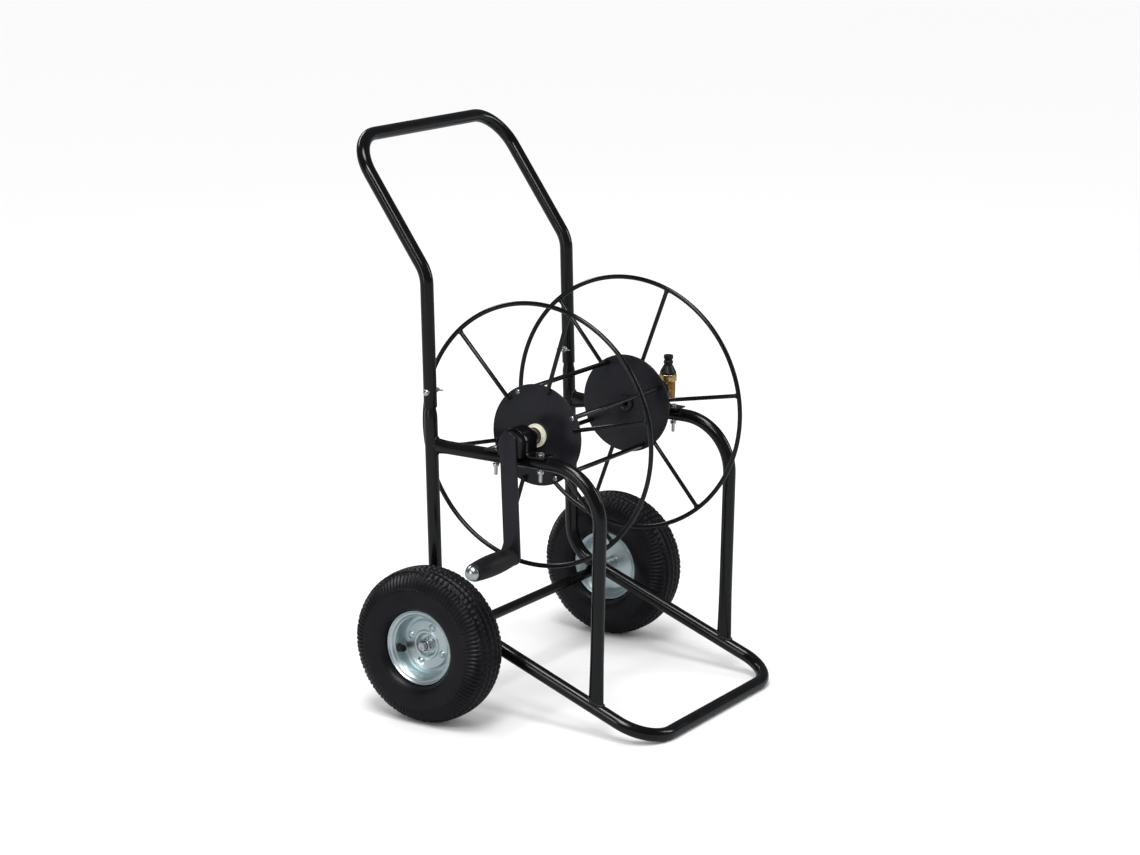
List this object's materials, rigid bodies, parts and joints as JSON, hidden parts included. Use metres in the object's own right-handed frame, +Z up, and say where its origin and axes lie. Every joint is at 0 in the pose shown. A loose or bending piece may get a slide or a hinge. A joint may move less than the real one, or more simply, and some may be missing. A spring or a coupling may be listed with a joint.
{
  "type": "garden hose reel cart",
  "caption": "Two-wheeled tube-frame garden hose cart with a wire reel on crossbars, side crank with turning grip, swivel water inlet and bent push handle.",
  "frame": {"origin": "on the ground, under the middle of the whole cart's box", "axes": "+Z up; +Y from the nose bar at the front to the push handle at the back; +X from the crank to the water inlet"},
  "size_m": [0.7134, 0.6162, 0.9476],
  "materials": {
    "black_paint": "gloss black paint",
    "charcoal_paint": "satin charcoal paint",
    "zinc_plate": "bright zinc plate",
    "wheel_zinc": "blue-white zinc plate",
    "bright_steel": "turned steel",
    "tyre_rubber": "matt black rubber",
    "tube_rubber": "matt black rubber",
    "grip_rubber": "satin black rubber",
    "black_plastic": "satin black plastic",
    "cream_nylon": "cream nylon",
    "brass": "turned brass"
  },
  "bodies": {
    "frame": {"axle": "zinc_plate", "axle_nut_left": "zinc_plate", "axle_nut_right": "zinc_plate", "axle_tube": "black_paint", "bearing_left": "black_plastic", "bearing_right": "black_plastic", "handle": "black_paint", "handle_bolt_left": "zinc_plate", "handle_bolt_right": "zinc_plate", "hoop_left": "black_paint", "hoop_right": "black_paint", "lower_frame": "black_paint", "saddle_bolt_left_front": "zinc_plate", "saddle_bolt_left_rear": "zinc_plate", "saddle_bolt_right_front": "zinc_plate", "saddle_bolt_right_rear": "zinc_plate", "saddle_left": "black_paint", "saddle_nut_left_front": "zinc_plate", "saddle_nut_left_rear": "zinc_plate", "saddle_nut_right_front": "zinc_plate", "saddle_nut_right_rear": "zinc_plate", "saddle_right": "black_paint"},
    "wheel_left": {"hub_bush_left": "bright_steel", "inner_tube_left": "tube_rubber", "rim_inner_left": "wheel_zinc", "rim_outer_left": "wheel_zinc", "tyre_left": "tyre_rubber"},
    "wheel_right": {"hub_bush_right": "bright_steel", "inner_tube_right": "tube_rubber", "rim_inner_right": "wheel_zinc", "rim_outer_right": "wheel_zinc", "tyre_right": "tyre_rubber"},
    "reel": {"crank_arm": "charcoal_paint", "crank_shaft": "black_paint", "crossbar_1": "black_paint", "crossbar_2": "black_paint", "crossbar_3": "black_paint", "crossbar_4": "black_paint", "crossbar_screw_left_1": "zinc_plate", "crossbar_screw_left_2": "zinc_plate", "crossbar_screw_left_3": "zinc_plate", "crossbar_screw_left_4": "zinc_plate", "crossbar_screw_right_1": "zinc_plate", "crossbar_screw_right_2": "zinc_plate", "crossbar_screw_right_3": "zinc_plate", "crossbar_screw_right_4": "zinc_plate", "disc_left": "charcoal_paint", "disc_right": "charcoal_paint", "grip_pin": "zinc_plate", "inlet_shaft": "black_paint", "thrust_ring_left": "cream_nylon", "thrust_ring_right": "cream_nylon", "wire_wheel_left": "black_paint", "wire_wheel_right": "black_paint"},
    "grip": {"grip_sleeve": "grip_rubber"},
    "inlet": {"inlet_elbow": "brass", "inlet_collar": "brass", "hose_connector": "black_plastic"},
    "wing_left": {"wing_nut_left": "zinc_plate"},
    "wing_right": {"wing_nut_right": "zinc_plate"}
  },
  "joints": [
    {"name": "wheel_left_spin", "type": "hinge", "parent": "frame", "child": "wheel_left", "pos_m": [-0.27672, 0.08056, 0.13], "axis": [1, 0, 0], "continuous": true},
    {"name": "wheel_right_spin", "type": "hinge", "parent": "frame", "child": "wheel_right", "pos_m": [0.31328, 0.08056, 0.13], "axis": [1, 0, 0], "continuous": true},
    {"name": "reel_spin", "type": "hinge", "parent": "frame", "child": "reel", "pos_m": [0.01828, -0.03784, 0.4727], "axis": [1, 0, 0], "continuous": true},
    {"name": "grip_spin", "type": "hinge", "parent": "reel", "child": "grip", "pos_m": [-0.288, -0.04909, 0.28874], "axis": [1, 0, 0], "continuous": true},
    {"name": "inlet_swivel", "type": "hinge", "parent": "frame", "child": "inlet", "pos_m": [0.28728, -0.03784, 0.4727], "axis": [1, 0, 0], "continuous": true},
    {"name": "wing_left_turn", "type": "hinge", "parent": "frame", "child": "wing_left", "pos_m": [-0.19772, 0.13565, 0.532], "axis": [1, 0, 0], "range_deg": [0, 360]},
    {"name": "wing_right_turn", "type": "hinge", "parent": "frame", "child": "wing_right", "pos_m": [0.23428, 0.13565, 0.532], "axis": [-1, 0, 0], "range_deg": [0, 360]}
  ]
}
